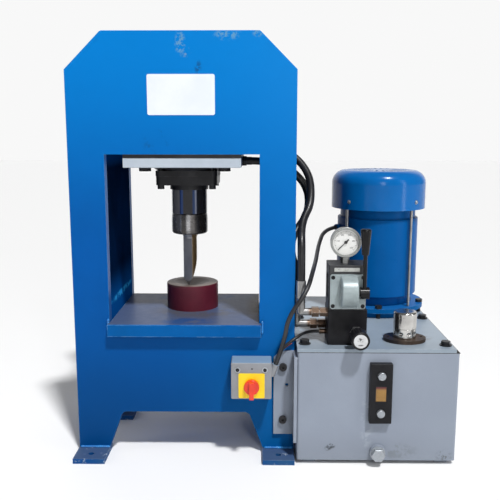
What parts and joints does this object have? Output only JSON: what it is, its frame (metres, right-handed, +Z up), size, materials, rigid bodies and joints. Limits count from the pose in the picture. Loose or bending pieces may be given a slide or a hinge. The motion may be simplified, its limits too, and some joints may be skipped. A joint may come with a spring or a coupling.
{
  "type": "hydraulic press",
  "caption": "Blue plate-frame workshop hydraulic press with a hanging cylinder, punch and die, and an oil tank at its right side with motor, lever valve, gauge and switch box.",
  "frame": {"origin": "on the floor under the ram's axis, which is the centre of the four floor bolt holes", "axes": "+Z up, +X to the operator's right towards the oil tank, -Y towards the operator"},
  "size_m": [0.86, 0.538, 0.95],
  "materials": {
    "frame_paint": "semi-gloss blue paint, worn at the edges",
    "pad_paint": "worn blue paint over steel",
    "table_steel": "worn grey-blue paint over steel",
    "die_steel": "machined steel with brown stain",
    "black_steel": "black finish, satin",
    "plate_steel": "pale grey, satin",
    "seal_rubber": "matt",
    "ram_chrome": "dark polished",
    "nose_steel": "polished",
    "punch_steel": "machined, with brown stain",
    "hose_rubber": "satin",
    "bright_steel": "plated",
    "tank_paint": "pale blue-grey paint",
    "lid_steel": "pale blue-grey, scuffed",
    "black_plastic": "matt",
    "window_plastic": "clear",
    "rusty_steel": "brown, rusted",
    "cap_chrome": "polished",
    "pump_aluminium": "cast",
    "cast_grey": "cast, matt",
    "motor_paint": "gloss blue paint",
    "cowl_paint": "gloss blue paint",
    "manifold_black": "black, satin",
    "valve_cast": "cast, black",
    "lever_aluminium": "cast, matt",
    "grip_plastic": "gloss black",
    "knob_black": "matt",
    "gauge_black": "black, satin",
    "pointer_black": "matt",
    "box_paint": "grey paint, matt",
    "plate_yellow": "glossy yellow",
    "knob_red": "glossy red",
    "cable_sheath": "matt"
  },
  "bodies": {
    "press": {"front_plate": "frame_paint", "rear_plate": "frame_paint", "inner_walls": "frame_paint", "bed_supports": "frame_paint", "head_plates": "frame_paint", "foot_pads": "pad_paint", "work_table": "table_steel", "die": "die_steel", "packing_plate": "black_steel", "mounting_plate": "plate_steel", "hex_bolts": "black_steel", "cylinder_barrel": "black_steel", "gland": "black_steel", "socket_screws": "black_steel", "rod_seal": "seal_rubber", "port_elbows": "black_steel", "hose_a": "hose_rubber", "hose_b": "hose_rubber", "hose_sleeves": "bright_steel", "tank": "tank_paint", "lid_gasket": "seal_rubber", "service_lid": "lid_steel", "motor_plate": "lid_steel", "tank_bracket": "tank_paint", "drain_plug": "black_steel", "level_gauge": "black_plastic", "gauge_window": "window_plastic", "gauge_bolts": "bright_steel", "filler_flange": "rusty_steel", "gear_pump": "pump_aluminium", "bell_housing": "cast_grey", "motor_flange": "motor_paint", "motor_body": "motor_paint", "fan_cowl": "cowl_paint", "tie_rods": "bright_steel", "manifold": "manifold_black", "valve_body": "valve_cast", "lever_housing": "lever_aluminium", "relief_valve": "bright_steel", "gauge_case": "gauge_black", "port_fittings": "bright_steel", "switch_box": "box_paint", "switch_plate": "plate_yellow", "motor_cable": "cable_sheath", "control_cable": "cable_sheath"},
    "ram_unit": {"piston": "black_steel", "piston_seals": "seal_rubber", "ram": "ram_chrome", "ram_nose": "nose_steel", "punch": "punch_steel"},
    "motor_rotor": {"rotor": "cast_grey", "cooling_fan": "black_plastic", "coupling": "cast_grey"},
    "lever": {"lever_rod": "bright_steel", "lever_grip": "grip_plastic"},
    "valve_spool": {"spool": "bright_steel"},
    "relief_adjuster": {"relief_knob": "knob_black"},
    "switch_turner": {"switch_knob": "knob_red"},
    "pointer": {"gauge_pointer": "pointer_black"},
    "breather": {"breather_cap": "cap_chrome"}
  },
  "joints": [
    {"name": "ram_slide", "type": "slide", "parent": "press", "child": "ram_unit", "axis": [0, 0, 1], "range_m": [0, 0.055]},
    {"name": "motor_spin", "type": "hinge", "parent": "press", "child": "motor_rotor", "pos_m": [0.485, 0.166, 0.4], "axis": [0, 0, 1], "continuous": true},
    {"name": "lever_swing", "type": "hinge", "parent": "press", "child": "lever", "pos_m": [0.397, -0.199, 0.393], "axis": [1, 0, 0], "range_deg": [-15, 15], "stiffness_Nm_per_rad": 3},
    {"name": "spool_slide", "type": "slide", "parent": "press", "child": "valve_spool", "axis": [0, 1, 0], "range_m": [-0.0045, 0.0045]},
    {"name": "relief_turn", "type": "hinge", "parent": "press", "child": "relief_adjuster", "pos_m": [0.386, -0.22, 0.298], "axis": [0, 1, 0], "range_deg": [-180, 180]},
    {"name": "switch_turn", "type": "hinge", "parent": "press", "child": "switch_turner", "pos_m": [0.153, -0.21, 0.181], "axis": [0, 1, 0], "range_deg": [0, 90]},
    {"name": "pointer_turn", "type": "hinge", "parent": "press", "child": "pointer", "pos_m": [0.361, -0.154, 0.4975], "axis": [0, 1, 0], "range_deg": [0, 270], "stiffness_Nm_per_rad": 0.002},
    {"name": "cap_lift", "type": "slide", "parent": "press", "child": "breather", "axis": [0, 0, 1], "range_m": [0, 0.1]}
  ],
  "couplings": [
    {"joint": "spool_slide", "follows": "lever_swing", "m_per_rad": 0.016}
  ]
}
